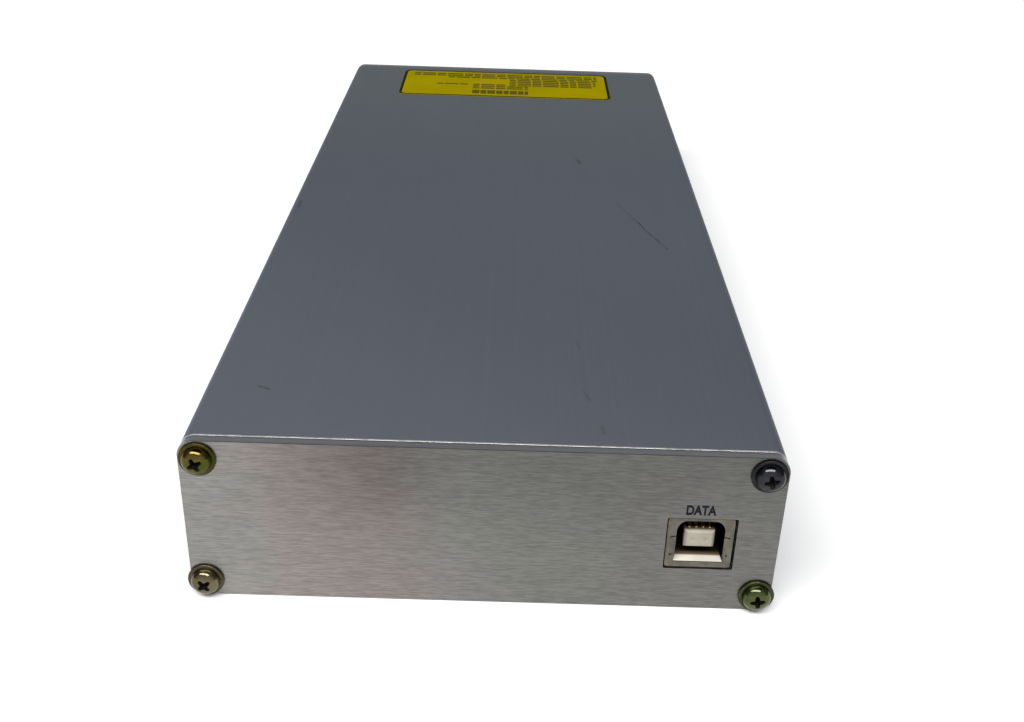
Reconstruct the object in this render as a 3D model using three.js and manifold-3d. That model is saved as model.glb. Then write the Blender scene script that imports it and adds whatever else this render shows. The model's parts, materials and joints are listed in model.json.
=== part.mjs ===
// A scanning lidar module in a split aluminium extrusion. One end plate carries a USB type-B port, the
// other a window. Inside are a main board, a laser, a receiver and a four-sided mirror on a flat motor.
// Millimetres. +X is right, +Y runs from the USB end to the window end, and Z = 0 is the underside.
// X = Y = 0 is the middle of the box. The mirror turns about Z.
import * as THREE from "three";
import { mergeVertices } from "three/addons/utils/BufferGeometryUtils.js";
import Module from "manifold-3d";

// ---- Driving dimensions ----

const WIDTH = 106;
const HEIGHT = 33;
const LENGTH = 250; // over both end plates, without the screw heads
const PLATE_T = 2; // end plates
const WALL = 2; // extrusion walls
const CORNER_R = 3;
const CORNER_STEPS = 9; // flats round each outer corner
const FIT = 0.1; // gap between faces that are screwed together
const CLEAR = 0.3; // gap round a piece that is slid or laid in place
const SEAM_Z = HEIGHT / 2;

const SCREW_INSET = 3.5; // from an end plate's edges to a screw's axis
const LOWER_SCREW_INSET = 2.7; // from its side edges to a lower screw's axis
const LOWER_SCREW_UP = 3.35; // from its bottom edge, with the washers just above the underside
const SCREW_R = 1.5;
const SCREW_LENGTH = 10;
const SCREW_HOLE_R = 1.8;
const HEAD_R = 2.8;
const HEAD_H = 1.8;
const WASHER_R = 3.3;
const WASHER_T = 0.5;

const BOSS = 7; // side of the square boss in each corner of the extrusion
const BOARD_T = 1.6;
const BOARD_Z = 7.4; // underside of the main board
const BOARD_FRONT_Y = 19;

const PORT_X = 39; // middle of the USB cut-out
const PORT_W = 12.6;
const PORT_BOTTOM = 8.9;
const PORT_H = 11.1;

const WINDOW_W = 78;
const WINDOW_H = 16;
const WINDOW_Z = 18.5; // height of the optical axis
const WINDOW_R = 2;

const LABEL_W = 70;
const LABEL_L = 30;
const LABEL_T = 0.15;
const LABEL_FROM_END = 6;

const SPIN_X = 6; // axis of the mirror
const SPIN_Y = 91;
const MIRROR_IN_R = 14; // from the axis to the middle of a facet
const SHAFT_R = 1.5;
const MOTOR_BASE = 44; // side of the square motor board

const BENCH_W = 88;
const BENCH_T = 4;
const BENCH_Y0 = 25;
const BENCH_Y1 = 117;

const LASER_X = -41.5;
const RECEIVER_X = -27.5;
const FOLD_X = -34; // middle of the fold mirror's face
const FOLD_Y = 101.5;
const DETECTOR_Y = BENCH_Y0 + 7; // back of the detector board

// ---- Derived places ----

const halfW = WIDTH / 2;
const halfL = LENGTH / 2;
const innerX = halfW - WALL;
const bossX = halfW - BOSS;
const bossH = BOARD_Z - FIT * 2; // the board's edges rest on the lower bosses
const shellEnd = halfL - PLATE_T - FIT;
const boardTop = BOARD_Z + BOARD_T;
const benchZ = WALL + FIT * 2;
const benchTop = benchZ + BENCH_T;
const upperScrews = [-1, 1].map((side) => [side * (halfW - SCREW_INSET), HEIGHT - SCREW_INSET]);
const lowerScrews = [-1, 1].map((side) => [side * (halfW - LOWER_SCREW_INSET), LOWER_SCREW_UP]);

// ---- Finishes ----

const paint = (color, roughness, metalness) =>
  new THREE.MeshStandardMaterial({ color, roughness, metalness });

const finish = {
  anodised: paint(0x656a73, 0.45, 0.7),
  brushed: paint(0x9c9b96, 0.35, 1),
  machined: paint(0xb4b6b8, 0.4, 1),
  goldZinc: paint(0x8a7c3c, 0.3, 1),
  bronzeZinc: paint(0x7d6338, 0.3, 1),
  greenZinc: paint(0x7b8040, 0.3, 1),
  steel: paint(0x5c5f66, 0.3, 1),
  shell: paint(0x9a938b, 0.35, 1),
  cream: paint(0xd9cfc0, 0.5, 0),
  gold: paint(0xb98a2e, 0.25, 1),
  yellow: paint(0xe3c21a, 0.5, 0),
  glass: paint(0x2a0d12, 0.05, 0),
  rubber: paint(0x161616, 0.8, 0),
  blackPlastic: paint(0x1a1b1d, 0.5, 0),
  board: paint(0x1f5a34, 0.5, 0),
  copper: paint(0x9a5a34, 0.4, 0.8),
  magnet: paint(0x3b3b3f, 0.6, 0.6),
  mirror: paint(0xe6eaee, 0.03, 1),
  lens: paint(0xc8d4e0, 0.02, 0),
  cable: paint(0xdcdcd4, 0.6, 0),
};

// ---- Solids ----

const wasm = await Module();
wasm.setup();

function toSolid(geometry) {
  const bare = geometry.clone();
  bare.deleteAttribute("normal");
  bare.deleteAttribute("uv");
  const merged = mergeVertices(bare, 1e-4);
  return new wasm.Manifold(
    new wasm.Mesh({
      numProp: 3,
      vertProperties: merged.attributes.position.array,
      triVerts: new Uint32Array(merged.index.array),
    }),
  );
}

function toGeometry(solid) {
  const mesh = solid.getMesh();
  const geometry = new THREE.BufferGeometry();
  geometry.setAttribute("position", new THREE.BufferAttribute(mesh.vertProperties, 3));
  geometry.setIndex(new THREE.BufferAttribute(mesh.triVerts, 1));
  geometry.computeVertexNormals();
  return geometry;
}

const join = (first, ...rest) =>
  toGeometry(rest.reduce((solid, next) => solid.add(toSolid(next)), toSolid(first)));

const cut = (first, ...tools) =>
  toGeometry(tools.reduce((solid, tool) => solid.subtract(toSolid(tool)), toSolid(first)));

const box = ([x0, x1], [y0, y1], [z0, z1]) =>
  new THREE.BoxGeometry(x1 - x0, y1 - y0, z1 - z0).translate(
    (x0 + x1) / 2,
    (y0 + y1) / 2,
    (z0 + z1) / 2,
  );

const centred = (middle, size) => [middle - size / 2, middle + size / 2];

// Points on an arc, in degrees, as [u, v] pairs.
function arc(u, v, radius, from, to, steps) {
  return Array.from({ length: steps + 1 }, (_, i) => {
    const angle = THREE.MathUtils.degToRad(from + ((to - from) * i) / steps);
    return [u + radius * Math.cos(angle), v + radius * Math.sin(angle)];
  });
}

const circle = (u, v, radius, sides) => arc(u, v, radius, 0, 360, sides).slice(0, -1);

const outline = (points) => points.map(([u, v]) => new THREE.Vector2(u, v));

// An outline whose right half is given from bottom to top, or from top to bottom.
const mirrored = (right) => [...right, ...right.map(([u, v]) => [-u, v]).reverse()];

function roundedRectangle([u0, u1], [v0, v1], radius, steps = 4) {
  return [
    ...arc(u1 - radius, v0 + radius, radius, -90, 0, steps),
    ...arc(u1 - radius, v1 - radius, radius, 0, 90, steps),
    ...arc(u0 + radius, v1 - radius, radius, 90, 180, steps),
    ...arc(u0 + radius, v0 + radius, radius, 180, 270, steps),
  ];
}

// A prism of an outline in X and Y, from z0 to z1.
function prismZ(points, z0, z1, holes = []) {
  const shape = new THREE.Shape(outline(points));
  shape.holes = holes.map((hole) => new THREE.Path(outline(hole)));
  const options = { depth: z1 - z0, bevelEnabled: false };
  return new THREE.ExtrudeGeometry(shape, options).translate(0, 0, z0);
}

// A prism of an outline in X and Z, from y0 to y1.
const prismY = (points, y0, y1, holes) =>
  prismZ(points, 0, y1 - y0, holes).rotateX(Math.PI / 2).translate(0, y1, 0);

// A prism of an outline in Y and Z, from x0 to x1.
const prismX = (points, x0, x1, holes) =>
  prismZ(points, x0, x1, holes).rotateY(Math.PI / 2).rotateX(Math.PI / 2);

// A closed [radius, height] profile turned about Z, or about Y for turnedY.
const turnedY = (profile, sides = 24) =>
  new THREE.LatheGeometry(outline([...profile, profile[0]]), sides);

const turnedZ = (profile, sides) => turnedY(profile, sides).rotateX(Math.PI / 2);

const ring = (inner, outer, h0, h1) => [
  [inner, h0],
  [outer, h0],
  [outer, h1],
  [inner, h1],
];

const disc = (radius, h0, h1) => ring(0, radius, h0, h1);

// ---- The assembly ----

const module = new THREE.Group();

function place(name, geometry, material, parent = module) {
  const mesh = new THREE.Mesh(geometry, material);
  mesh.name = name;
  parent.add(mesh);
  return mesh;
}

const screwHoles = (places) => places.map(([x, z]) => circle(x, z, SCREW_HOLE_R, 12));

// The two halves of the extrusion. The lower one has a tongue along each seam and a rib over each
// edge of the main board, and the upper one a skirt outside the tongue.
function enclosure() {
  const lap = 0.85; // thickness of a tongue and of a skirt
  const tongueTop = SEAM_Z + 1.4;
  const ribX = innerX - 2;
  const ribZ = boardTop + 0.4;
  const ribT = 1;

  const lower = mirrored([
    ...arc(halfW - CORNER_R, CORNER_R, CORNER_R, -90, 0, CORNER_STEPS),
    [halfW, SEAM_Z - FIT],
    [innerX + lap, SEAM_Z - FIT],
    [innerX + lap, tongueTop],
    [innerX, tongueTop],
    [innerX, ribZ + ribT],
    [ribX, ribZ + ribT],
    [ribX, ribZ],
    [innerX, ribZ],
    [innerX, bossH],
    [bossX, bossH],
    [bossX, WALL],
  ]);
  const upper = mirrored([
    [bossX, HEIGHT - WALL],
    [bossX, HEIGHT - bossH],
    [innerX, HEIGHT - bossH],
    [innerX, tongueTop + CLEAR],
    [halfW - lap, tongueTop + CLEAR],
    [halfW - lap, SEAM_Z + FIT],
    [halfW, SEAM_Z + FIT],
    ...arc(halfW - CORNER_R, HEIGHT - CORNER_R, CORNER_R, 0, 90, CORNER_STEPS),
  ]);
  const countersinks = benchScrewPlaces().map(([x, y]) =>
    turnedZ(
      [
        [0, -1],
        [BENCH_HEAD_R + CLEAR, -1],
        [BENCH_HEAD_R + CLEAR, BENCH_HEAD_Z + CLEAR],
        [SCREW_HOLE_R, BENCH_HEAD_Z + CLEAR + BENCH_HEAD_R - SCREW_HOLE_R],
        [SCREW_HOLE_R, WALL + 1],
        [0, WALL + 1],
      ],
      16,
    ).translate(x, y, 0),
  );
  const lowerBody = prismY(lower, -shellEnd, shellEnd, screwHoles(lowerScrews));
  const upperBody = prismY(upper, -shellEnd, shellEnd, screwHoles(upperScrews));
  place("lower_shell", cut(lowerBody, ...countersinks), finish.anodised);
  place("upper_shell", upperBody, finish.anodised);
}

// A sticker on the top, near the window end.
function label() {
  const y1 = halfL - LABEL_FROM_END;
  const edge = roundedRectangle(centred(0, LABEL_W), [y1 - LABEL_L, y1], 2, 3);
  const bottom = HEIGHT + 0.02;
  place("info_label", prismZ(edge, bottom, bottom + LABEL_T), finish.yellow);
}

function endPlates() {
  const edge = roundedRectangle(centred(0, WIDTH), [0, HEIGHT], CORNER_R, CORNER_STEPS);
  const holes = screwHoles([...upperScrews, ...lowerScrews]);
  const port = roundedRectangle(
    centred(PORT_X, PORT_W),
    [PORT_BOTTOM, PORT_BOTTOM + PORT_H],
    0.3,
    2,
  );
  const window = roundedRectangle(
    centred(0, WINDOW_W),
    centred(WINDOW_Z, WINDOW_H),
    WINDOW_R,
  );
  const rear = prismY(edge, -halfL, -halfL + PLATE_T, [...holes, port]);
  const front = prismY(edge, halfL - PLATE_T, halfL, [...holes, window]);
  place("rear_end_plate", rear, finish.brushed);
  place("front_end_plate", front, finish.brushed);
}

// Pan-head cross-recess screws with flat washers, four at each end.
function endScrews() {
  const underHead = WASHER_T + FIT;
  const top = underHead + HEAD_H;
  const profile = [
    [0, underHead - SCREW_LENGTH],
    [SCREW_R - 0.4, underHead - SCREW_LENGTH],
    [SCREW_R, underHead - SCREW_LENGTH + 0.6],
    [SCREW_R, underHead],
    [HEAD_R - 0.15, underHead],
    [HEAD_R, underHead + 0.2],
    [HEAD_R - 0.1, underHead + HEAD_H * 0.5],
    [HEAD_R - 0.7, underHead + HEAD_H * 0.85],
    [HEAD_R - 1.6, top],
    [0, top],
  ];
  const slot = (width, length) => box(centred(0, width), [top - 1.1, top + 1], centred(0, length));
  const screw = cut(turnedY(profile, 20), join(slot(0.7, 3), slot(3, 0.7)));
  const washer = turnedY(ring(SCREW_R + 0.3, WASHER_R, FIT / 2, WASHER_T), 24);
  const tints = [finish.goldZinc, finish.steel, finish.bronzeZinc, finish.greenZinc];
  for (const [end, direction] of [["rear", -1], ["front", 1]]) {
    [...upperScrews, ...lowerScrews].forEach(([x, z], i) => {
      const corner = new THREE.Group();
      corner.position.set(x, direction * halfL, z);
      corner.rotation.x = direction < 0 ? Math.PI : 0;
      module.add(corner);
      place(`${end}_screw_${i + 1}`, screw.clone(), tints[i], corner);
      place(`${end}_washer_${i + 1}`, washer.clone(), tints[i], corner);
    });
  }
}

// The window: a gasket and a pane behind the end plate, and a frame that holds them from inside.
function windowParts() {
  const rim = 3;
  const z = centred(WINDOW_Z, WINDOW_H);
  const x = centred(0, WINDOW_W);
  const grow = ([low, high], by) => [low - by, high + by];
  const opening = roundedRectangle(x, z, WINDOW_R);
  const pane = roundedRectangle(grow(x, rim), grow(z, rim), 1);
  const holder = roundedRectangle(grow(x, rim + 2), grow(z, rim + 1), 1);
  const inside = halfL - PLATE_T;
  const layers = [0.6, 2, 2]; // gasket, pane and frame
  const faces = layers.map((_, i) =>
    layers.slice(0, i).reduce((depth, layer) => depth + layer, FIT * (i + 1)),
  );
  const spans = faces.map((depth, i) => [inside - depth - layers[i], inside - depth]);
  place("window_gasket", prismY(pane, ...spans[0], [opening]), finish.rubber);
  place("window_glass", prismY(pane, ...spans[1]), finish.glass);
  place("window_frame", prismY(holder, ...spans[2], [opening]), finish.machined);
}

// ---- The USB port ----

function usbPort() {
  const width = 12;
  const height = 10.7;
  const depth = 16;
  const skin = 0.45;
  const x = centred(PORT_X - 0.12, width);
  const bottom = PORT_BOTTOM + 0.25;
  const z = [bottom, bottom + height];
  const y0 = -halfL + 0.15;
  const middle = (x[0] + x[1]) / 2;
  const mouthHalf = 4.35;
  const mouth = mirrored([
    [mouthHalf, bottom + 1.25],
    [mouthHalf, bottom + 7.9],
    [mouthHalf - 0.45, bottom + 9],
    [mouthHalf - 1.7, bottom + 10.15],
  ]).map(([u, v]) => [u + middle, v]);
  const can = cut(
    box(x, [y0, y0 + depth], z),
    box([x[0] + skin, x[1] - skin], [y0 + skin, y0 + depth + 1], [z[0] + skin, z[1] - skin]),
    prismY(mouth, y0 - 1, y0 + 1),
  );
  place("usb_shell", can, finish.shell);

  // A block at the back carries the tongue, and a floor with a ramp that faces the mouth.
  const tongueX = centred(middle, 5.8);
  const tongueZ = [bottom + 4.3, bottom + 7.7];
  const blockX = [x[0] + skin + 0.25, x[1] - skin - 0.25];
  const blockY = [y0 + 12.5, y0 + depth - 0.2];
  const floorZ = z[0] + skin + 0.25;
  const ramp = [
    [y0 + 0.7, floorZ],
    [blockY[0] + 0.5, floorZ],
    [blockY[0] + 0.5, floorZ + 2.2],
    [y0 + 2.7, floorZ + 2.2],
    [y0 + 0.7, floorZ + 0.7],
  ];
  const insulator = join(
    box(blockX, blockY, [floorZ, z[1] - skin - 0.25]),
    box(tongueX, [y0 + 0.8, blockY[0] + 0.5], tongueZ),
    prismX(ramp, ...blockX),
  );
  const contactW = 0.62;
  const pitch = 1.2;
  const contactZ = tongueZ[1] + 0.15;
  const contactXs = [-1.5, -0.5, 0.5, 1.5].map((step) => middle + step * pitch);
  place("usb_insulator", insulator, finish.cream);
  contactXs.forEach((contactX, i) => {
    const blade = box(
      centred(contactX, contactW),
      [y0 + 1.8, blockY[0] - CLEAR],
      [contactZ, contactZ + 0.3],
    );
    const hook = box(
      centred(contactX, contactW),
      [blockY[0] - CLEAR - 0.5, blockY[0] - CLEAR],
      [contactZ, contactZ + 1.1],
    );
    place(`usb_contact_${i + 1}`, join(blade, hook), finish.gold);
  });
}

// ---- The main board and what stands on it ----

function mainBoard() {
  const edgeX = innerX - CLEAR;
  const y = [-halfL + PLATE_T + CLEAR, BOARD_FRONT_Y];
  const top = boardTop + FIT;
  place("main_board", box([-edgeX, edgeX], y, [BOARD_Z, boardTop]), finish.board);
  place(
    "processor",
    box(centred(-6, 14), centred(-42, 14), [top, top + 1.4]),
    finish.blackPlastic,
  );
  place("power_capacitor", turnedZ(disc(4, top, top + 10), 20).translate(-34, -88, 0), finish.steel);
  place("motor_socket", socket(MOTOR_SOCKET), finish.cable);
  place("detector_socket", socket(DETECTOR_SOCKET), finish.cable);
}

const SOCKET_D = 5;
const SOCKET_H = 4;
const MOTOR_SOCKET = { x: SPIN_X, width: 11 };
const DETECTOR_SOCKET = { x: RECEIVER_X, width: 9 };
const SOCKET_Y = BOARD_FRONT_Y - 8;

function socket({ x, width }) {
  const z = boardTop + FIT;
  return box(centred(x, width), centred(SOCKET_Y, SOCKET_D), [z, z + SOCKET_H]);
}

// A flat cable of the given width that follows a curve through [y, z] points.
function flatCable(x, width, points) {
  const thickness = 0.5;
  const curve = new THREE.SplineCurve(outline(points));
  const steps = 20;
  const side = (sign) =>
    Array.from({ length: steps + 1 }, (_, i) => {
      const at = curve.getPoint(i / steps);
      const along = curve.getTangent(i / steps);
      const offset = (sign * thickness) / 2;
      return [at.x - along.y * offset, at.y + along.x * offset];
    });
  return prismX([...side(1), ...side(-1).reverse()], ...centred(x, width));
}

function cables() {
  const start = SOCKET_Y + SOCKET_D / 2 + CLEAR;
  const startZ = boardTop + FIT + SOCKET_H / 2;
  const motorRoute = [
    [start, startZ],
    [start + 6, startZ],
    [start + 20, benchTop + 1.2],
    [start + 36, benchTop + 0.8],
    [SPIN_Y - MOTOR_BASE / 2 - 2 * CLEAR, benchTop + 0.8],
  ];
  const detectorRoute = [
    [start, startZ],
    [start + 4, startZ + 0.4],
    [start + 9, startZ + 3],
    [DETECTOR_Y - CLEAR * 2, startZ + 3.4],
  ];
  place("motor_cable", flatCable(SPIN_X, 8, motorRoute), finish.cable);
  place("detector_cable", flatCable(RECEIVER_X, 6, detectorRoute), finish.cable);
}

// ---- The optics bench and its screws, driven up through the floor of the lower shell ----

const BENCH_HEAD_R = 2.7;
const BENCH_HEAD_Z = 0.3; // the heads sit this far inside the underside

function benchScrewPlaces() {
  const inset = 8;
  return [BENCH_Y0 + inset, BENCH_Y1 - inset].flatMap((y) =>
    [-1, 1].map((side) => [side * (BENCH_W / 2 - inset), y]),
  );
}

function bench() {
  const shankTop = benchTop - 0.6;
  const plate = box(centred(0, BENCH_W), [BENCH_Y0, BENCH_Y1], [benchZ, benchTop]);
  const holes = benchScrewPlaces().map(([x, y]) =>
    turnedZ(disc(SCREW_HOLE_R, 0, shankTop + 0.2), 12).translate(x, y, 0),
  );
  place("optics_bench", cut(plate, ...holes), finish.machined);
  const profile = [
    [0, BENCH_HEAD_Z],
    [BENCH_HEAD_R, BENCH_HEAD_Z],
    [SCREW_R, BENCH_HEAD_Z + BENCH_HEAD_R - SCREW_R],
    [SCREW_R, shankTop],
    [0, shankTop],
  ];
  const socketHole = turnedZ(disc(1.1, 0, BENCH_HEAD_Z + 1), 6);
  benchScrewPlaces().forEach(([x, y], i) => {
    const screw = place(`bench_screw_${i + 1}`, cut(turnedZ(profile, 16), socketHole), finish.steel);
    screw.position.set(x, y, 0);
  });
}

// ---- The scanner motor and its mirror ----

function scanner() {
  const baseZ = benchTop + 0.2;
  const baseTop = baseZ + 1;
  const bushR = 4;
  const bushTop = baseTop + 3.6;
  const stator = [baseTop + 1.4, baseTop + 3.8];
  const hubTop = baseTop + 5.8;
  const mirrorZ = [hubTop + CLEAR, hubTop + CLEAR + 12];
  const teeth = 9;
  const group = new THREE.Group();
  group.position.set(SPIN_X, SPIN_Y, 0);
  module.add(group);

  const base = prismZ(
    roundedRectangle(centred(0, MOTOR_BASE), centred(0, MOTOR_BASE), 3, 3),
    baseZ,
    baseTop,
    [circle(0, 0, bushR + CLEAR, 24)],
  );
  const bush = turnedZ([
    [SHAFT_R + 0.08, baseZ],
    [bushR, baseZ],
    [bushR, baseTop + 0.2],
    [bushR + 2, baseTop + 0.2],
    [bushR + 2, baseTop + 1],
    [bushR, baseTop + 1],
    [bushR, bushTop],
    [SHAFT_R + 0.08, bushTop],
  ]);
  const coreEdge = Array.from({ length: teeth }, (_, i) => {
    const middle = (360 / teeth) * i;
    return [
      ...arc(0, 0, 6, middle - 16, middle - 8, 1),
      ...arc(0, 0, 8.9, middle - 16, middle + 16, 4),
      ...arc(0, 0, 6, middle + 8, middle + 16, 1),
    ];
  }).flat();
  const core = prismZ(coreEdge, ...stator, [circle(0, 0, bushR + CLEAR, 18)]);
  place("motor_base", base, finish.board, group);
  place("bearing_bush", bush, finish.gold, group);
  place("stator_core", core, finish.copper, group);

  // What turns: the shaft, the cup over the stator with its magnet, the mirror and its clip.
  const fitR = SHAFT_R + 0.25;
  const spigotR = 6;
  const hub = turnedZ([
    [fitR, hubTop - 1.2],
    [11.1, hubTop - 1.2],
    [11.1, baseTop + 0.8],
    [12.2, baseTop + 0.8],
    [12.2, hubTop],
    [spigotR, hubTop],
    [spigotR, hubTop + 2],
    [fitR, hubTop + 2],
  ]);
  const magnet = turnedZ(ring(9.6, 10.8, baseTop + 1, hubTop - 1.5));
  const facet = MIRROR_IN_R * 2;
  const nib = 0.6; // the corners of the mirror are cut back this far
  const square = [1, -1, -1, 1].flatMap((sx, i) => {
    const sy = [1, 1, -1, -1][i];
    const along = [sx * (facet / 2 - nib), (sy * facet) / 2];
    const across = [(sx * facet) / 2, sy * (facet / 2 - nib)];
    return sx * sy > 0 ? [across, along] : [along, across];
  });
  const polygon = prismZ(square, ...mirrorZ, [circle(0, 0, spigotR + CLEAR, 24)]);
  const clipZ = mirrorZ[1] + CLEAR;
  const clip = turnedZ([
    [fitR, clipZ],
    [8, clipZ],
    [8, clipZ + 0.5],
    [3.5, clipZ + 1],
    [fitR, clipZ + 1],
  ]);
  const shaft = turnedZ([
    [0, baseZ + 0.3],
    [SHAFT_R - 0.3, baseZ + 0.3],
    [SHAFT_R, baseZ + 0.7],
    [SHAFT_R, clipZ + 1.8],
    [SHAFT_R - 0.3, clipZ + 2.1],
    [0, clipZ + 2.1],
  ]);
  place("rotor_shaft", shaft, finish.steel, group);
  place("rotor_hub", hub, finish.machined, group);
  place("rotor_magnet", magnet, finish.magnet, group);
  place("mirror_clip", clip, finish.steel, group);
  place("polygon_mirror", polygon, finish.mirror, group).rotation.z = Math.PI / 4;
}

// ---- Laser, receiver and fold mirror ----

// The fold mirror turns the beam from +Y to +X, towards the spinning mirror.
function foldMirror() {
  const group = new THREE.Group();
  group.position.set(FOLD_X, FOLD_Y, 0);
  group.rotation.z = Math.PI / 4;
  module.add(group);
  const thickness = 3;
  const back = thickness + CLEAR;
  const foot = benchTop + CLEAR;
  const glass = box(centred(0, 34), [0, thickness], [foot + 2.3, 25.3]);
  const bracket = join(
    box(centred(0, 20), [back, back + 2], [foot, 23]),
    box(centred(0, 20), [-9, back + 1], [foot, foot + 1.8]),
  );
  place("fold_mirror", glass, finish.mirror, group);
  place("fold_mirror_bracket", bracket, finish.machined, group);
}

function transceiver() {
  const barrelR = 3;
  const tubeR = 8;
  const board = [DETECTOR_Y, DETECTOR_Y + BOARD_T];
  const tubeY = [DETECTOR_Y + 7, DETECTOR_Y + 33];
  const lensY = tubeY[1] - 5; // the receiver lens rests on a step at this depth
  const blockY = [tubeY[0] + 6, tubeY[0] + 22];
  const barrelY = [tubeY[0] + 4, tubeY[0] + 24];
  const diodeY = [DETECTOR_Y + 3, barrelY[0] - 0.5];
  const block = prismY(
    roundedRectangle([-45.6, -17.4], [benchTop + CLEAR, 28.5], 1, 2),
    ...blockY,
    [
      circle(LASER_X, WINDOW_Z, barrelR + CLEAR, 20),
      circle(RECEIVER_X, WINDOW_Z, tubeR + CLEAR, 28),
    ],
  );
  place("optics_block", block, finish.machined);

  const onAxis = (name, profile, x, material) =>
    place(name, turnedY(profile), material).position.set(x, 0, WINDOW_Z);

  const barrelBore = 2.3;
  onAxis("laser_barrel", ring(barrelBore, barrelR, ...barrelY), LASER_X, finish.machined);
  onAxis(
    "laser_diode",
    [
      [0, diodeY[0]],
      [2.8, diodeY[0]],
      [2.8, diodeY[0] + 1.2],
      [2, diodeY[0] + 1.2],
      [2, diodeY[1]],
      [0, diodeY[1]],
    ],
    LASER_X,
    finish.gold,
  );
  const lensProfile = (radius, y, flat, crown) => [
    [0, y],
    [radius, y],
    [radius, y + flat],
    [radius * 0.7, y + flat + crown * 0.55],
    [radius * 0.36, y + flat + crown * 0.9],
    [0, y + flat + crown],
  ];
  const collimator = lensProfile(barrelBore - 0.2, barrelY[1] - 3, 0.8, 0.7);
  onAxis("collimator_lens", collimator, LASER_X, finish.lens);
  onAxis(
    "receiver_tube",
    [
      [6.4, tubeY[0]],
      [tubeR, tubeY[0]],
      [tubeR, tubeY[1]],
      [7.2, tubeY[1]],
      [7.2, lensY],
      [6.4, lensY],
    ],
    RECEIVER_X,
    finish.blackPlastic,
  );
  onAxis("receiver_lens", lensProfile(6.9, lensY + CLEAR, 1.6, 2), RECEIVER_X, finish.lens);

  place("detector_board", box([-46, -16], board, [benchTop + CLEAR, 28]), finish.board);
  onAxis("detector", disc(3.2, board[1] + FIT, board[1] + 3.6), RECEIVER_X, finish.steel);
}

enclosure();
label();
endPlates();
endScrews();
windowParts();
usbPort();
mainBoard();
cables();
bench();
scanner();
foldMirror();
transceiver();

export default module;
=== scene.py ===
"""Looks for the scanning lidar module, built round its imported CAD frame.

Lengths are in metres, +Z is up and -Y is the USB end.
"""

import json
import math

import bmesh
import bpy
from mathutils import Matrix, Vector


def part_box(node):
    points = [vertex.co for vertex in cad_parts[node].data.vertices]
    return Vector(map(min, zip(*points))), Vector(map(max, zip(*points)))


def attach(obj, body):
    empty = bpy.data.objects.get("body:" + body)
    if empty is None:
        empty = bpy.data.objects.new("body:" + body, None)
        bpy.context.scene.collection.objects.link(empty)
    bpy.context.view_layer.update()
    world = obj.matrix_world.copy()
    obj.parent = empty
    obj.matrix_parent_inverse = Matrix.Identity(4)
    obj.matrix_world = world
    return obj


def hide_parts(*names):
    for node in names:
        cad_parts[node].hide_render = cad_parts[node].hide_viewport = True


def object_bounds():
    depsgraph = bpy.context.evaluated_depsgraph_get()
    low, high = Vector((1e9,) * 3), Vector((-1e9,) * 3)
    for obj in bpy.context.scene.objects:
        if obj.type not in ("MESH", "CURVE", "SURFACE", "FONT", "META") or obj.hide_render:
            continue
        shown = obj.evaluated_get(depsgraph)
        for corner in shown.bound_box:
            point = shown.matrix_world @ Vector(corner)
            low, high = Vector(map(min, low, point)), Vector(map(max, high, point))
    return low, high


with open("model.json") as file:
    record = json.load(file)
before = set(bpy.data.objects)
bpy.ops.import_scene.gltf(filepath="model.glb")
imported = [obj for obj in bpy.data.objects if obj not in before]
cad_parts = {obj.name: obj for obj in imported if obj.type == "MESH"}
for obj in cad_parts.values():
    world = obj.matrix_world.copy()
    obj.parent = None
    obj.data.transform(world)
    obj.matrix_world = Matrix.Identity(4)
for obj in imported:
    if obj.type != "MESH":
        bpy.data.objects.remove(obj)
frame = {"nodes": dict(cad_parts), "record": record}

CAD_LOW, CAD_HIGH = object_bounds()
HOUSING = "housing"
MM = 0.001
SLOT_OF = {part["node"]: part["material_slot"] for part in frame["record"]["subparts"]}


# ---- Camera, floor and light ----

CAMERA_PLACE = (0.0034, -0.2979, 0.1442)
CAMERA_YAW, CAMERA_PITCH, CAMERA_ROLL = 0.28, 28.45, 1.89  # degrees; the pitch is downwards
CAMERA_LENS, CAMERA_SENSOR = 42.06, 36  # mm
CAMERA_NEAREST, CAMERA_FARTHEST = 0.01, 20

# How brightly the room lights the object, from each side.
ROOM_IN_FRONT, ROOM_BEHIND = 0.50, 0.30
ROOM_OVERHEAD, ROOM_BESIDE = 0.06, 0.45  # shares of the brightness in front and behind
ROOM_LOW_IN_FRONT = 0.45  # added near the horizon

KEY_AZIMUTH, KEY_ELEVATION, KEY_DISTANCE = -14, 58, 6.0
KEY_SIZE = (7.0, 2.2)
KEY_WATTS = 500.0

FLOOR_REACH = 1.4  # from the middle to each edge
FLOOR_GAP = 0.2 * MM  # so that the floor doesn't flicker against the underside


def make_camera():
    yaw, pitch, roll = (math.radians(a) for a in (CAMERA_YAW, CAMERA_PITCH, CAMERA_ROLL))
    level = Vector((math.cos(yaw), -math.sin(yaw), 0))
    ahead = Vector((math.sin(yaw) * math.cos(pitch), math.cos(yaw) * math.cos(pitch),
                    -math.sin(pitch)))
    above = level.cross(ahead)
    right = level * math.cos(roll) + above * math.sin(roll)
    up = above * math.cos(roll) - level * math.sin(roll)
    data = bpy.data.cameras.new("camera")
    data.sensor_width = CAMERA_SENSOR
    data.lens = CAMERA_LENS
    data.clip_start, data.clip_end = CAMERA_NEAREST, CAMERA_FARTHEST
    camera = bpy.data.objects.new("camera", data)
    turn = Matrix((right, up, -ahead)).transposed().to_4x4()
    camera.matrix_world = Matrix.Translation(CAMERA_PLACE) @ turn
    bpy.context.scene.collection.objects.link(camera)
    bpy.context.scene.camera = camera


def towards(azimuth, elevation):
    """The direction in degrees of azimuth, with 0 at -Y and 90 at +X, and of elevation."""
    a, e = math.radians(azimuth), math.radians(elevation)
    return Vector((math.sin(a) * math.cos(e), -math.cos(a) * math.cos(e), math.sin(e)))


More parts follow.
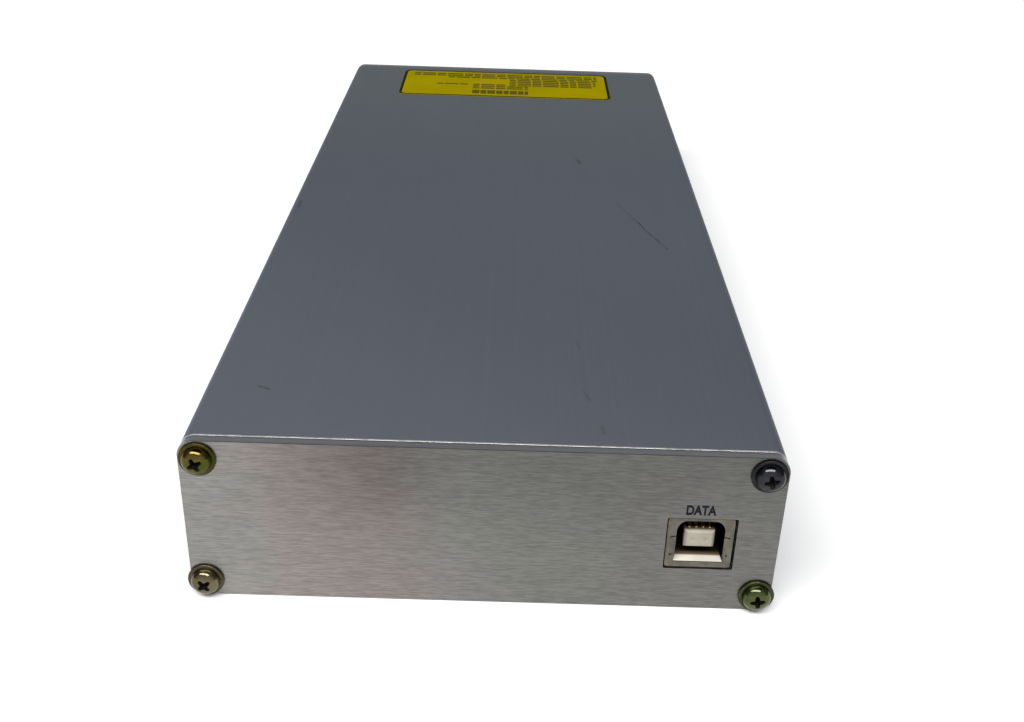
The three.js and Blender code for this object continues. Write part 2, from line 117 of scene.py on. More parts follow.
def make_key_light():
    """One large soft panel, which faces the middle of the object."""
    data = bpy.data.lights.new("key_panel", "AREA")
    data.shape = "RECTANGLE"
    data.size, data.size_y = KEY_SIZE
    data.energy = KEY_WATTS
    lamp = bpy.data.objects.new("key_panel", data)
    lamp.location = KEY_DISTANCE * towards(KEY_AZIMUTH, KEY_ELEVATION)
    lamp.rotation_euler = (-lamp.location).to_track_quat("-Z", "Y").to_euler()
    bpy.context.scene.collection.objects.link(lamp)


def make_world():
    """A plain room that is light in front of the USB end and dimmer behind, above and beside it.

    The camera itself sees it as white.
    """
    world = bpy.data.worlds.new("studio")
    bpy.context.scene.world = world
    world.use_nodes = True
    nodes, links = world.node_tree.nodes, world.node_tree.links
    split = nodes.new("ShaderNodeSeparateXYZ")
    links.new(nodes.new("ShaderNodeTexCoord").outputs["Generated"], split.inputs[0])

    def ramp(value, start, end, at_start, at_end):
        node = nodes.new("ShaderNodeMapRange")
        node.interpolation_type = "SMOOTHSTEP"
        links.new(value, node.inputs["Value"])
        limits = {"From Min": start, "From Max": end, "To Min": at_start, "To Max": at_end}
        for socket, limit in limits.items():
            node.inputs[socket].default_value = limit
        return node.outputs["Result"]

    def combine(operation, *values):
        node = nodes.new("ShaderNodeMath")
        node.operation = operation
        for value, socket in zip(values, node.inputs):
            links.new(value, socket)
        return node.outputs[0]

    x, y, z = (split.outputs[axis] for axis in "XYZ")
    depth = ramp(y, 0.5, -0.6, ROOM_BEHIND, ROOM_IN_FRONT)
    overhead = ramp(z, 0.70, 0.92, 1.0, ROOM_OVERHEAD)
    beside = ramp(combine("ABSOLUTE", x), 0.45, 0.95, 1.0, ROOM_BESIDE)
    in_front = ramp(y, -0.2, -0.7, 0.0, ROOM_LOW_IN_FRONT)
    low_in_front = combine("MULTIPLY", in_front, ramp(z, 0.65, 0.30, 0.0, 1.0))
    around = combine("MULTIPLY", combine("MULTIPLY", depth, overhead), beside)
    room = combine("ADD", around, low_in_front)
    seen = nodes.new("ShaderNodeMix")
    seen.inputs["B"].default_value = 1.0
    links.new(nodes.new("ShaderNodeLightPath").outputs["Is Camera Ray"], seen.inputs["Factor"])
    links.new(room, seen.inputs["A"])
    sky = nodes["Background"]
    sky.inputs["Color"].default_value = (1, 1, 1, 1)
    links.new(seen.outputs["Result"], sky.inputs["Strength"])


def make_floor():
    sides = (-FLOOR_REACH, FLOOR_REACH)
    corners = [(x, y, CAD_LOW.z - FLOOR_GAP) for x, y in rectangle(sides, sides)]
    floor = object_from("floor", corners, [(0, 1, 2, 3)])
    paper = Graph("floor_paper", roughness=0.9, Specular_IOR_Level=0.0)
    paper.colour(paper.mottle((0.93, 0.93, 0.93), (0.95, 0.95, 0.95), 3.0))
    floor.data.materials.append(paper.material)


def make_stage():
    make_world()
    make_floor()
    make_key_light()
    bpy.context.scene.view_settings.view_transform = "Standard"


# ---- Materials ----


class Graph:
    """A material's node graph round one Principled shader.

    Constant values sit on the shader's own sockets.
    """

    def __init__(self, name, metallic=0.0, roughness=0.5, **sockets):
        self.material = bpy.data.materials.new(name)
        self.material.use_nodes = True
        self.nodes = self.material.node_tree.nodes
        self.links = self.material.node_tree.links
        self.shader = self.nodes["Principled BSDF"]
        self.shader.inputs["Metallic"].default_value = metallic
        self.shader.inputs["Roughness"].default_value = roughness
        for socket, value in sockets.items():
            self.shader.inputs[socket.replace("_", " ")].default_value = value
        self.place = self.add("ShaderNodeTexCoord").outputs["Object"]

    def add(self, kind, inputs=(), **settings):
        node = self.nodes.new(kind)
        for key, value in settings.items():
            setattr(node, key, value)
        for key, value in dict(inputs).items():
            if isinstance(value, bpy.types.NodeSocket):
                self.links.new(value, node.inputs[key])
            else:
                node.inputs[key].default_value = value
        return node

    def math(self, operation, a, b=0.0):
        return self.add("ShaderNodeMath", {0: a, 1: b}, operation=operation).outputs[0]

    def vector(self, operation, a, b):
        """A vector operation's result. SCALE takes a number as b, and DOT_PRODUCT gives one."""
        inputs = {0: a, "Scale" if operation == "SCALE" else 1: b}
        node = self.add("ShaderNodeVectorMath", inputs, operation=operation)
        return node.outputs["Value" if operation == "DOT_PRODUCT" else "Vector"]

    def noise(self, scale, detail=3.0, stretch=(1, 1, 1)):
        where = self.add("ShaderNodeMapping", {"Vector": self.place, "Scale": stretch}).outputs[0]
        inputs = {"Vector": where, "Scale": scale, "Detail": detail}
        return self.add("ShaderNodeTexNoise", inputs).outputs["Fac"]

    def between(self, value, low, high, to_low=0.0, to_high=1.0):
        """The value taken smoothly from low and high to to_low and to_high, and held beyond."""
        inputs = {"Value": value, "From Min": low, "From Max": high, "To Min": to_low,
                  "To Max": to_high}
        node = self.add("ShaderNodeMapRange", inputs, interpolation_type="SMOOTHSTEP")
        return node.outputs["Result"]

    def mix(self, factor, a, b):
        """The colour a where the factor is 0, and b where it is 1."""
        a, b = (colour if isinstance(colour, bpy.types.NodeSocket) else (*colour, 1)
                for colour in (a, b))
        # The node has sockets for each type of data. 6 and 7 are its colours, and 2 its result.
        return self.add("ShaderNodeMix", {0: factor, 6: a, 7: b}, data_type="RGBA").outputs[2]

    def mottle(self, a, b, scale, detail=3.0, stretch=(1, 1, 1)):
        """Soft patches of two colours."""
        return self.mix(self.between(self.noise(scale, detail, stretch), 0.3, 0.7), a, b)

    def colour(self, value):
        self.links.new(value, self.shader.inputs["Base Color"])

    def set(self, socket, value):
        self.links.new(value, self.shader.inputs[socket])

    def bump(self, height, depth):
        """Relief of a depth in metres, on top of any that is there already."""
        inputs = {"Height": height, "Distance": depth}
        if self.shader.inputs["Normal"].links:
            inputs["Normal"] = self.shader.inputs["Normal"].links[0].from_socket
        self.set("Normal", self.add("ShaderNodeBump", inputs).outputs["Normal"])

    def axes(self):
        split = self.add("ShaderNodeSeparateXYZ", {"Vector": self.place})
        return split.outputs["X"], split.outputs["Y"], split.outputs["Z"]

    def near_line(self, start, end, half_width, wander):
        """1 on the line from start to end in X and Y, falling to 0 at half_width from it.

        The line strays to each side by up to about half of wander.
        """
        a, b = Vector((*start, 0)), Vector((*end, 0))
        along = (b - a).normalized()
        drift = self.add("ShaderNodeTexNoise", {"Vector": self.place, "Scale": 60.0, "Detail": 2.0})
        centred = self.vector("SUBTRACT", drift.outputs["Color"], (0.5, 0.5, 0.5))
        stray = self.vector("SCALE", centred, wander)
        offset = self.vector("SUBTRACT", self.vector("ADD", self.place, stray), tuple(a))
        reach = self.vector("DOT_PRODUCT", offset, tuple(along))
        across = self.vector("DOT_PRODUCT", offset, (-along.y, along.x, 0))
        past_end = self.math("SUBTRACT", reach, (b - a).length)
        before_start = self.math("MULTIPLY", reach, -1.0)
        over = self.math("MAXIMUM", self.math("MAXIMUM", past_end, before_start), 0.0)
        squares = [self.math("MULTIPLY", part, part) for part in (over, across)]
        distance = self.math("SQRT", self.math("ADD", *squares))
        return self.between(distance, 0.0, half_width, 1.0, 0.0)


def grained(name, dark, light, metallic=0.0, roughness=0.5, spread=0.08, patch=60.0, grain=1500.0,
            depth=0.02 * MM, stretch=(1, 1, 1), **sockets):
    """A plain moulded, plated or ground surface: patchy, unevenly rough and finely grained.

    patch and grain are how many patches and grains a metre has. spread is how far the roughness
    goes either way, and depth is the grain's relief.
    """
    graph = Graph(name, metallic, roughness, **sockets)
    graph.colour(graph.mottle(dark, light, patch, 4.0, stretch))
    uneven = graph.noise(patch * 2.3, 5.0, stretch)
    graph.set("Roughness", graph.between(uneven, 0.25, 0.75, *about(roughness, spread)))
    graph.bump(graph.noise(grain, 2.0, stretch), depth)
    return graph.material


# Wear on the top, as [start, end, half width, strength, wander]. Lengths are in metres, and the
# points are in X and Y from the middle of the top.
SCRATCHES = [
    ((0.0308, -0.0047), (0.0345, -0.0165), 0.00022, 0.55, 0.002),
    ((0.0345, -0.0165), (0.0407, -0.0345), 0.00026, 0.9, 0.002),
    ((0.0210, 0.0300), (0.0214, 0.0255), 0.0010, 0.35, 0.004),
    ((-0.0503, -0.0100), (-0.0500, -0.0160), 0.0006, 0.5, 0.003),
    ((-0.0425, -0.1050), (-0.0400, -0.1062), 0.0005, 0.7, 0.003),
    ((0.0172, -0.0835), (0.0180, -0.0865), 0.0005, 0.35, 0.002),
    ((0.0176, -0.1040), (0.0184, -0.1072), 0.0006, 0.28, 0.003),
    ((0.0206, -0.1160), (0.0210, -0.1185), 0.0006, 0.25, 0.002),
]
CUT_EDGE = 0.45 * MM  # bare metal shows this far back from each sawn end of the extrusion


def anodised_material(high):
    """Clear-anodised extrusion: blue-grey satin with an etched grain, rub marks and bare sawn ends.

    high is the shell's highest corner.
    """
    graph = Graph("anodised_extrusion", 0.9, 0.42, Specular_Tint=(0.30, 0.32, 0.36, 1))
    x, y, z = graph.axes()
    base = graph.mottle((0.270, 0.293, 0.348), (0.276, 0.299, 0.354), 16.0, 4.0)
    # Painted reflection: the top is lighter and greener towards the far end, darker towards the
    # near end, and lighter at the near left.
    far = graph.between(y, 0.0, 0.125)
    base = graph.mix(graph.math("MULTIPLY", far, 0.9), base, (0.318, 0.356, 0.370))
    near = graph.between(y, 0.0, -0.12)
    base = graph.mix(graph.math("MULTIPLY", near, 0.6), base, (0.222, 0.241, 0.287))
    near_left_painted_reflection = graph.between(graph.math("ADD", graph.math("MULTIPLY", x, 0.8), y), -0.04, -0.16)
    base = graph.mix(graph.math("MULTIPLY", near_left_painted_reflection, 0.45), base, (0.375, 0.400, 0.462))
    die_lines = graph.noise(1.0, 2.0, (1900, 7, 1900))
    base = graph.mix(graph.between(die_lines, 0.40, 0.78, 0.0, 0.05), base, (0.43, 0.46, 0.51))
    speckle = graph.noise(2400.0, 2.0)
    base = graph.mix(graph.between(speckle, 0.52, 0.80, 0.0, 0.12), base, (0.145, 0.152, 0.18))
    on_top = graph.math("GREATER_THAN", z, high.z - 0.5 * MM)
    marks = 0.0
    for start, end, width, strength, wander in SCRATCHES:
        line = graph.math("MULTIPLY", graph.near_line(start, end, width, wander), strength)
        marks = graph.math("MAXIMUM", marks, line)
    patchy = graph.math("ADD", graph.between(graph.noise(500.0, 3.0), 0.35, 0.6), 0.25)
    marks = graph.math("MULTIPLY", graph.math("MULTIPLY", marks, on_top), patchy)
    base = graph.mix(marks, base, (0.113, 0.117, 0.113))
    from_end = graph.math("SUBTRACT", high.y, graph.math("ABSOLUTE", y))
    bare = graph.between(from_end, CUT_EDGE * 0.7, CUT_EDGE, 1.0, 0.0)
    nicks = graph.between(graph.noise(1.0, 4.0, (420, 60, 60)), 0.30, 0.55, 0.45, 1.0)
    bare = graph.math("MULTIPLY", bare, nicks)
    graph.colour(graph.mix(bare, base, (0.85, 0.85, 0.84)))
    satin = graph.between(graph.noise(160.0, 5.0), 0.25, 0.75, 0.41, 0.43)
    graph.set("Roughness", graph.math("SUBTRACT", satin, graph.math("MULTIPLY", bare, 0.12)))
    graph.bump(graph.noise(3200.0, 2.0), 0.010 * MM)
    graph.bump(die_lines, 0.004 * MM)
    graph.bump(marks, -0.04 * MM)
    return graph.material


def brushed_material():
    """Bare aluminium brushed along X in short fine strokes, uneven in random patches and bands,
    with painted reflection that makes it lighter to the left and towards the bottom and darker to
    the right.

    Its edges are plain and milled.
    """
    graph = Graph("brushed_plate", 1.0, 0.34, Anisotropic=0.5)
    x, y, z = graph.axes()
    fine = graph.noise(1.0, 1.0, (520, 520, 6800))
    strokes = graph.noise(1.0, 1.0, (300, 300, 4000))
    bands = graph.noise(1.0, 1.0, (26, 26, 380))
    streaks = graph.math("MULTIPLY", graph.math("ADD", fine, strokes), 0.5)
    base = graph.mottle((0.138, 0.135, 0.130), (0.152, 0.149, 0.143), 55.0)
    base = graph.mix(graph.between(bands, 0.35, 0.65, 0.0, 0.20), base, (0.122, 0.120, 0.116))
    # Painted reflection: the plate is lighter to the left and darker to the right.
    base = graph.mix(graph.between(x, -0.015, -0.052, 0.0, 0.65), base, (0.310, 0.309, 0.292))
    base = graph.mix(graph.between(x, 0.0, 0.045, 0.0, 0.5), base, (0.122, 0.120, 0.118))
    # Painted reflection of the floor: lighter towards the bottom, most at the left.
    painted_floor_reflection = graph.math("MULTIPLY", graph.between(z, 0.031, 0.010),
                       graph.between(x, -0.025, 0.020, 0.62, 0.24))
    base = graph.mix(painted_floor_reflection, base, (0.262, 0.256, 0.246))
    pink_zone = graph.math("MULTIPLY", graph.between(x, -0.050, -0.038),
                           graph.between(x, -0.004, -0.020))
    pink = graph.math("MULTIPLY", pink_zone, graph.between(graph.noise(42.0, 1.0), 0.36, 0.50))
    green = graph.between(graph.noise(31.0, 2.0, (1, 1, 0.8)), 0.48, 0.62)
    tint = graph.mix(green, (1.01, 1.0, 0.99), (0.98, 1.02, 0.97))
    tint = graph.mix(pink, tint, (1.06, 0.965, 0.955))
    shade = graph.between(streaks, 0.35, 0.65, 0.83, 1.17)
    base = graph.vector("SCALE", graph.vector("MULTIPLY", base, tint), shade)
    low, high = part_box("rear_end_plate")
    depth = graph.math("SUBTRACT", graph.math("ABSOLUTE", y), abs(low.y + high.y) / 2)
    milled = graph.math("LESS_THAN", graph.math("ABSOLUTE", depth), (high.y - low.y) / 2 - 0.2 * MM)
    graph.colour(graph.mix(milled, base, (0.40, 0.41, 0.44)))
    graph.set("Roughness", graph.between(streaks, 0.3, 0.7, 0.31, 0.38))
    tangent = graph.add("ShaderNodeTangent", direction_type="RADIAL", axis="Z")
    graph.set("Tangent", tangent.outputs[0])
    graph.bump(fine, 0.012 * MM)
    graph.bump(strokes, 0.010 * MM)
    return graph.material


def zinc_material(name, body, flash, deep, share=1.0, roughness=(0.12, 0.19)):
    """Passivated zinc plate: one tint with iridescent patches of two others, dimmed by share, which
    is painted shade on the washers.
    """
    body, flash, deep = (tuple(share * c for c in colour) for colour in (body, flash, deep))
    graph = Graph(name, 1.0, roughness[1])
    base = graph.mottle(body, flash, 420.0, 3.0)
    base = graph.mix(graph.between(graph.noise(260.0, 2.0), 0.5, 0.72, 0.0, 0.8), base, deep)
    graph.colour(base)
    graph.set("Roughness", graph.between(graph.noise(900.0, 4.0), 0.3, 0.7, *roughness))
    graph.bump(graph.noise(2400.0, 3.0), 0.012 * MM)
    return graph.material


def circuit_board_material():
    """Green solder mask over copper tracks, with tinned pads in rows."""
    graph = Graph("circuit_board", 0.0, 0.35, Coat_Weight=0.4)
    brick = {"Vector": graph.place, "Scale": 130.0, "Mortar Size": 0.06, "Mortar Smooth": 0.3}
    tracks = graph.add("ShaderNodeTexBrick", brick, offset=0.37)
    rough_tracks = graph.between(graph.noise(90.0, 1.0), 0.42, 0.5)
    line = graph.math("MULTIPLY", tracks.outputs["Fac"], rough_tracks)
    mask = graph.mottle((0.010, 0.085, 0.030), (0.016, 0.110, 0.042), 40.0)
    base = graph.mix(line, mask, (0.040, 0.210, 0.085))
    cells = {"Vector": graph.place, "Scale": 420.0, "Randomness": 0.35}
    dots = graph.add("ShaderNodeTexVoronoi", cells)
    pads = graph.between(dots.outputs["Distance"], 0.16, 0.20, 1.0, 0.0)
    pads = graph.math("MULTIPLY", pads, graph.between(graph.noise(45.0, 1.0), 0.56, 0.6))
    graph.colour(graph.mix(pads, base, (0.62, 0.60, 0.55)))
    graph.set("Metallic", pads)
    graph.bump(graph.math("ADD", line, pads), 0.03 * MM)
    return graph.material


def glass_material(name, tint, roughness, ior):
    """Tinted glass with faint smears."""
    graph = Graph(name, 0.0, roughness, Transmission_Weight=1.0, IOR=ior)
    graph.colour(graph.mottle(tint, tuple(0.9 * c for c in tint), 25.0))
    smears = graph.noise(38.0, 4.0, (1, 3, 1))
    graph.set("Roughness", graph.between(smears, 0.45, 0.8, roughness, roughness + 0.05))
    return graph.material


def port_moulding_material():
    """Cream plastic with painted shade: darker on the tongue, and going brown and then nearly black
    further into the port.
    """
    low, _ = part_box("usb_shell")
    graph = Graph("port_moulding", 0.0, 0.42, Subsurface_Weight=0.08, Subsurface_Scale=0.0004)
    _, y, z = graph.axes()
    unshaded_tone = graph.mottle((0.46, 0.43, 0.36), (0.54, 0.505, 0.43), 250.0)
    # Painted shade: the tongue is darker than the ramp and sill below it.
    tongue_shade_tone = graph.mottle((0.25, 0.225, 0.175), (0.31, 0.285, 0.225), 250.0)
    on_tongue = graph.between(z, low.z + 2.5 * MM, low.z + 3.0 * MM)
    tone = graph.mix(on_tongue, unshaded_tone, tongue_shade_tone)
    tongue_shade_delay = graph.math("MULTIPLY", on_tongue, 0.4 * MM)  # the tongue's painted shade starts further in
    depth = graph.math("SUBTRACT", graph.math("SUBTRACT", y, low.y), tongue_shade_delay)
    # Painted shade: brown and then nearly black further into the port.
    tone = graph.mix(graph.between(depth, 0.8 * MM, 1.4 * MM), tone, (0.120, 0.082, 0.052))
    tone = graph.mix(graph.between(depth, 1.3 * MM, 2.6 * MM), tone, (0.010, 0.007, 0.004))
    graph.colour(tone)
    graph.bump(graph.noise(1500.0, 2.0), 0.02 * MM)
    return graph.material


def ink(name, colour):
    return grained(name, tuple(0.8 * c for c in colour), colour, roughness=0.6, spread=0.05,
                   patch=900.0, Specular_IOR_Level=0.05)


WASHER_PAINTED_SHADE, WASHER_ROUGHNESS = 0.62, (0.24, 0.34)  # washers are rougher than their screws, and their colour is darkened as painted shade
PLATING = {  # the body, flash and deep tint of each kind of screw
    "gold_zinc": ((0.066, 0.064, 0.014), (0.120, 0.088, 0.026), (0.050, 0.074, 0.008)),
    "bronze_zinc": ((0.110, 0.092, 0.052), (0.150, 0.125, 0.076), (0.085, 0.074, 0.026)),
    "green_zinc": ((0.072, 0.086, 0.034), (0.108, 0.122, 0.052), (0.044, 0.062, 0.028)),
    "dark_steel": ((0.030, 0.031, 0.035), (0.050, 0.052, 0.057), (0.044, 0.028, 0.036)),
}


def make_materials():
    """Materials by name: one for each slot of the record, and some that single pieces need."""
    _, shell_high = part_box("upper_shell")
    made = {
        "anodised_shell": anodised_material(shell_high),
        "brushed_plate": brushed_material(),
        "circuit_board": circuit_board_material(),
        "port_moulding": port_moulding_material(),
        "window_glass": glass_material("infrared_glass", (0.16, 0.012, 0.020), 0.03, 1.52),
        "lens_glass": glass_material("lens_glass", (0.90, 0.95, 0.99), 0.01, 1.6),
    }
    plain = {
        "machined_aluminium": dict(dark=(0.50, 0.50, 0.51), light=(0.62, 0.62, 0.63), metallic=1.0,
                                   roughness=0.32, stretch=(1, 14, 1)),
        "usb_steel": dict(dark=(0.100, 0.090, 0.074), light=(0.170, 0.156, 0.132), metallic=1.0,
                          roughness=0.36, patch=380.0),
        "cream_plastic": dict(dark=(0.40, 0.365, 0.295), light=(0.46, 0.42, 0.345), roughness=0.42,
                              patch=250.0, Subsurface_Weight=0.1, Subsurface_Scale=0.0005),
        "gold_contact": dict(dark=(0.66, 0.42, 0.12), light=(0.78, 0.54, 0.20), metallic=1.0,
                             roughness=0.25, patch=400.0),
        "label_yellow": dict(dark=(0.250, 0.202, 0.0010), light=(0.280, 0.224, 0.0015),
                             roughness=0.5, patch=70.0, grain=800.0, Specular_IOR_Level=0.0),
        "gasket_rubber": dict(dark=(0.012, 0.012, 0.012), light=(0.02, 0.02, 0.02), roughness=0.75),
        "black_plastic": dict(dark=(0.012, 0.012, 0.013), light=(0.022, 0.022, 0.024),
                              roughness=0.5, depth=0.04 * MM),
        "white_plastic": dict(dark=(0.62, 0.62, 0.57), light=(0.72, 0.72, 0.68), roughness=0.5),
        "stator_steel": dict(dark=(0.34, 0.15, 0.07), light=(0.48, 0.24, 0.12), metallic=0.9,
                             roughness=0.4, stretch=(1, 1, 12)),
        "bearing_bronze": dict(dark=(0.42, 0.26, 0.11), light=(0.55, 0.36, 0.17), metallic=1.0,
                               roughness=0.4, grain=2600.0),
        "magnet_ferrite": dict(dark=(0.035, 0.035, 0.038), light=(0.055, 0.055, 0.058),
                               metallic=0.4, roughness=0.55),
        "front_mirror": dict(dark=(0.93, 0.94, 0.95), light=(0.96, 0.97, 0.98), metallic=1.0,
                             roughness=0.05, spread=0.03, depth=0.002 * MM),
        "recess_shadow": dict(dark=(0.003, 0.003, 0.003), light=(0.008, 0.007, 0.006),
                              roughness=0.7, Specular_IOR_Level=0.1),
        "port_shadow": dict(dark=(0.006, 0.005, 0.005), light=(0.012, 0.011, 0.010), metallic=0.5,
                            roughness=0.7),
    }
    made.update({name: grained(name, **look) for name, look in plain.items()})
    for slot, tints in PLATING.items():
        made[slot] = zinc_material(slot, *tints)
        made[f"{slot}_washer"] = zinc_material(f"{slot}_washer", *tints, WASHER_PAINTED_SHADE,
                                               WASHER_ROUGHNESS)
    inks = {
        "black_ink": (0.012, 0.011, 0.006),
        "faded_ink": (0.085, 0.072, 0.002),
        "grey_ink": (0.012, 0.013, 0.019),
    }
    made.update({name: ink(name, colour) for name, colour in inks.items()})
    return made


# ---- Mesh helpers ----


def object_from(name, vertices, faces):
    mesh = bpy.data.meshes.new(name)
    mesh.from_pydata(vertices, [], faces)
    mesh.validate()
    made = bpy.data.objects.new(name, mesh)
    bpy.context.scene.collection.objects.link(made)
    return made


def smooth(piece, sharp_over=35.0):
    """Smooth shading, but with an edge left sharp where its faces meet at over so many degrees."""
    grid = bmesh.new()
    grid.from_mesh(piece.data)
    bmesh.ops.recalc_face_normals(grid, faces=grid.faces)
    limit = math.radians(sharp_over)
    for face in grid.faces:
        face.smooth = True
    for edge in grid.edges:
        edge.smooth = len(edge.link_faces) == 2 and edge.calc_face_angle(0.0) < limit
    grid.to_mesh(piece.data)
    grid.free()
    return piece


def turned(name, profile, sides):
    """A closed [radius, height] profile turned about Z."""
    vertices, rings = [], []
    for radius, height in profile:
        if radius < 1e-9:  # on the axis, where the whole ring is one point
            rings.append([len(vertices)] * sides)
            vertices.append((0, 0, height))
            continue
        rings.append(list(range(len(vertices), len(vertices) + sides)))
        for i in range(sides):
            turn = math.tau * i / sides
            vertices.append((radius * math.cos(turn), radius * math.sin(turn), height))
    faces = []
    for a, b in zip(rings, rings[1:] + rings[:1]):
        for i in range(sides):
            k = (i + 1) % sides
            corner = list(dict.fromkeys((a[i], a[k], b[k], b[i])))
            if len(corner) > 2:
                faces.append(corner)
    return object_from(name, vertices, faces)


def arc(u, v, radius, start, end, steps):
    """Points round (u, v), from one angle to another in degrees."""
    turns = [math.radians(start + (end - start) * i / steps) for i in range(steps + 1)]
    return [(u + radius * math.cos(t), v + radius * math.sin(t)) for t in turns]


def rounded(u_range, v_range, radius, steps=8):
    """A rectangle's outline with round corners."""
    (u0, u1), (v0, v1) = u_range, v_range
    return (arc(u1 - radius, v0 + radius, radius, -90, 0, steps)
            + arc(u1 - radius, v1 - radius, radius, 0, 90, steps)
            + arc(u0 + radius, v1 - radius, radius, 90, 180, steps)
            + arc(u0 + radius, v0 + radius, radius, 180, 270, steps))


def body_faces(count, rings, first=0):
    """The faces of a closed body through rings of count vertices each, numbered from first."""
    faces = []
    for k in range(rings - 1):
        near, far = first + k * count, first + (k + 1) * count
        faces += [(near + i, near + (i + 1) % count, far + (i + 1) % count, far + i)
                  for i in range(count)]
    last = first + (rings - 1) * count
    return faces + [tuple(range(first, first + count))[::-1], tuple(range(last, last + count))]


def loft(name, rings, along="Z"):
    """A closed body through rings, each an [outline, depth], with outlines of one length.

    An outline is in X and Y with its depth along Z, or in X and Z with its depth along Y.
    """
    vertices = [(u, v, depth) if along == "Z" else (u, depth, v)
                for outline, depth in rings for u, v in outline]
    return smooth(object_from(name, vertices, body_faces(len(rings[0][0]), len(rings))))


def prism(name, outline, low, high, along="Z"):
    return loft(name, [(outline, low), (outline, high)], along)


def rectangle(u_range, v_range):
    (u0, u1), (v0, v1) = u_range, v_range
    return [(u0, v0), (u1, v0), (u1, v1), (u0, v1)]


def about(middle, half):
    return middle - half, middle + half


def bevelled(piece, width, segments=3, angle=40.0):
    bevel = piece.modifiers.new("soft_edges", "BEVEL")
    bevel.width = width
    bevel.segments = segments
    bevel.limit_method = "ANGLE"
    bevel.angle_limit = math.radians(angle)
    return piece


def applied(piece):
    """The piece with its modifiers made part of its mesh."""
    bpy.context.view_layer.update()
    shown = piece.evaluated_get(bpy.context.evaluated_depsgraph_get())
    mesh = bpy.data.meshes.new_from_object(shown)
    piece.modifiers.clear()
    piece.data = mesh
    return piece


def carve(piece, *tools):
    """Cuts the tools out of the piece, and removes them."""
    for tool in tools:
        cutter = piece.modifiers.new("cut", "BOOLEAN")
        cutter.operation = "DIFFERENCE"
        cutter.solver = "EXACT"
        cutter.object = tool
    applied(piece)
    for tool in tools:
        bpy.data.objects.remove(tool)
    return piece


def dress(piece, material, node=None):
    """Gives a new piece its material, and has it ride on the housing.

    node is the CAD node that it stands for, if any.
    """
    piece.data.materials.clear()
    piece.data.materials.append(material)
    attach(piece, HOUSING)
    if node:
        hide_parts(node)


# ---- CAD nodes that keep their shape ----

EDGE_WIDTH = 0.08  # how far a node's edges are broken, in millimetres
EDGE_WIDTHS = {  # the nodes whose edges are broken further
    "upper_shell": 0.22,
    "lower_shell": 0.22,
    "rear_end_plate": 0.22,
    "front_end_plate": 0.22,
    "usb_insulator": 0.22,
    "window_frame": 0.3,
    "optics_bench": 0.4,
    "optics_block": 0.5,
    "processor": 0.15,
    "rotor_hub": 0.3,
    "polygon_mirror": 0.15,
    "power_capacitor": 0.5,
    "fold_mirror_bracket": 0.3,
}


def soften_node(node, width):
    """Joins the node's split corners and breaks its edges, with flat faces still shaded flat."""
    mesh = node.data
    if "custom_normal" in mesh.attributes:
        mesh.attributes.remove(mesh.attributes["custom_normal"])
    for face in mesh.polygons:
        face.use_smooth = True
    weld = node.modifiers.new("weld", "WELD")
    weld.merge_threshold = 0.001 * MM
    bevelled(node, width, 2, 30.0)
    evened = node.modifiers.new("even_shading", "WEIGHTED_NORMAL")
    evened.keep_sharp = False
    evened.weight = 100


def dress_nodes(materials):
    for name, node in frame["nodes"].items():
        node.data.materials.clear()
        node.data.materials.append(materials[SLOT_OF[name]])
        soften_node(node, EDGE_WIDTHS.get(name, EDGE_WIDTH) * MM)


# ---- End screws and washers ----

HEAD_INSIDE = 0.15 * MM  # how far the plated dome's rim lies inside the CAD head
SHANK_RADIUS = 1.5 * MM
WASHER_BORE = 1.8 * MM  # its radius
RECESS_SPAN, RECESS_DEPTH = 2.9 * MM, 1.55 * MM
RECESS_REACH = 1.65 * MM  # how far from the axis the recess's faces lie
RECESS_TURNS = {"rear": (28, 12, 40, 8), "front": (15, 33, 5, 48)}  # degrees, screw by screw


def head_profile(radius, height):
    """A pan head's outline: a squarish dome from the rim to the crown."""
    squareness = 2.3
    steps = 14
    rim = 0.12 * MM
    dome = []
    for i in range(steps + 1):
        turn = math.radians(90 * i / steps)
        out = radius * math.cos(turn) ** (2 / squareness) if i < steps else 0.0
        up = rim + (height - rim) * math.sin(turn) ** (2 / squareness)
        dome.append((out, up))
    return [(radius - rim, 0.0), (radius - rim * 0.3, rim * 0.3)] + dome


def thread_profile(length, radius):
    """A shank below the head with a groove at each turn of the thread."""
    pitch, depth = 0.5 * MM, 0.28 * MM
    turns = int(length / pitch) - 2
    rows = [(radius - depth, 0.0)]
    for i in range(turns):
        z = -(i + 1) * pitch
        rows += [(radius - depth, z + 0.3 * pitch), (radius, z + 0.05 * pitch),
                 (radius, z - 0.05 * pitch)]
    return rows + [(radius - depth * 1.5, -length), (0.0, -length)]


def cross_recess(top):
    """The cutter for a cross recess: a four-armed outline that narrows as it goes down."""
    arm, waist = RECESS_SPAN / 2, 0.42 * MM
    quarter = [(arm, -waist * 0.8), (arm * 1.06, 0.0), (arm, waist * 0.8),
               (waist * 1.25, waist * 1.25)]
    outline = []
    for turn in range(4):
        c, s = round(math.cos(turn * math.pi / 2)), round(math.sin(turn * math.pi / 2))
        outline += [(x * c - y * s, x * s + y * c) for x, y in quarter]
    floor = [(0.42 * x, 0.42 * y) for x, y in outline]
    mouth = [(1.1 * x, 1.1 * y) for x, y in outline]
    return loft("recess_tool", [(floor, top - RECESS_DEPTH), (mouth, top + 0.4 * MM)])


def screw_piece(name, radius, height, length, recess_turn):
    profile = thread_profile(length, SHANK_RADIUS)[::-1] + head_profile(radius, height)
    tool = cross_recess(height)
    tool.rotation_euler.z = math.radians(recess_turn)
    return smooth(carve(smooth(turned(name, profile, 64)), tool), 30)


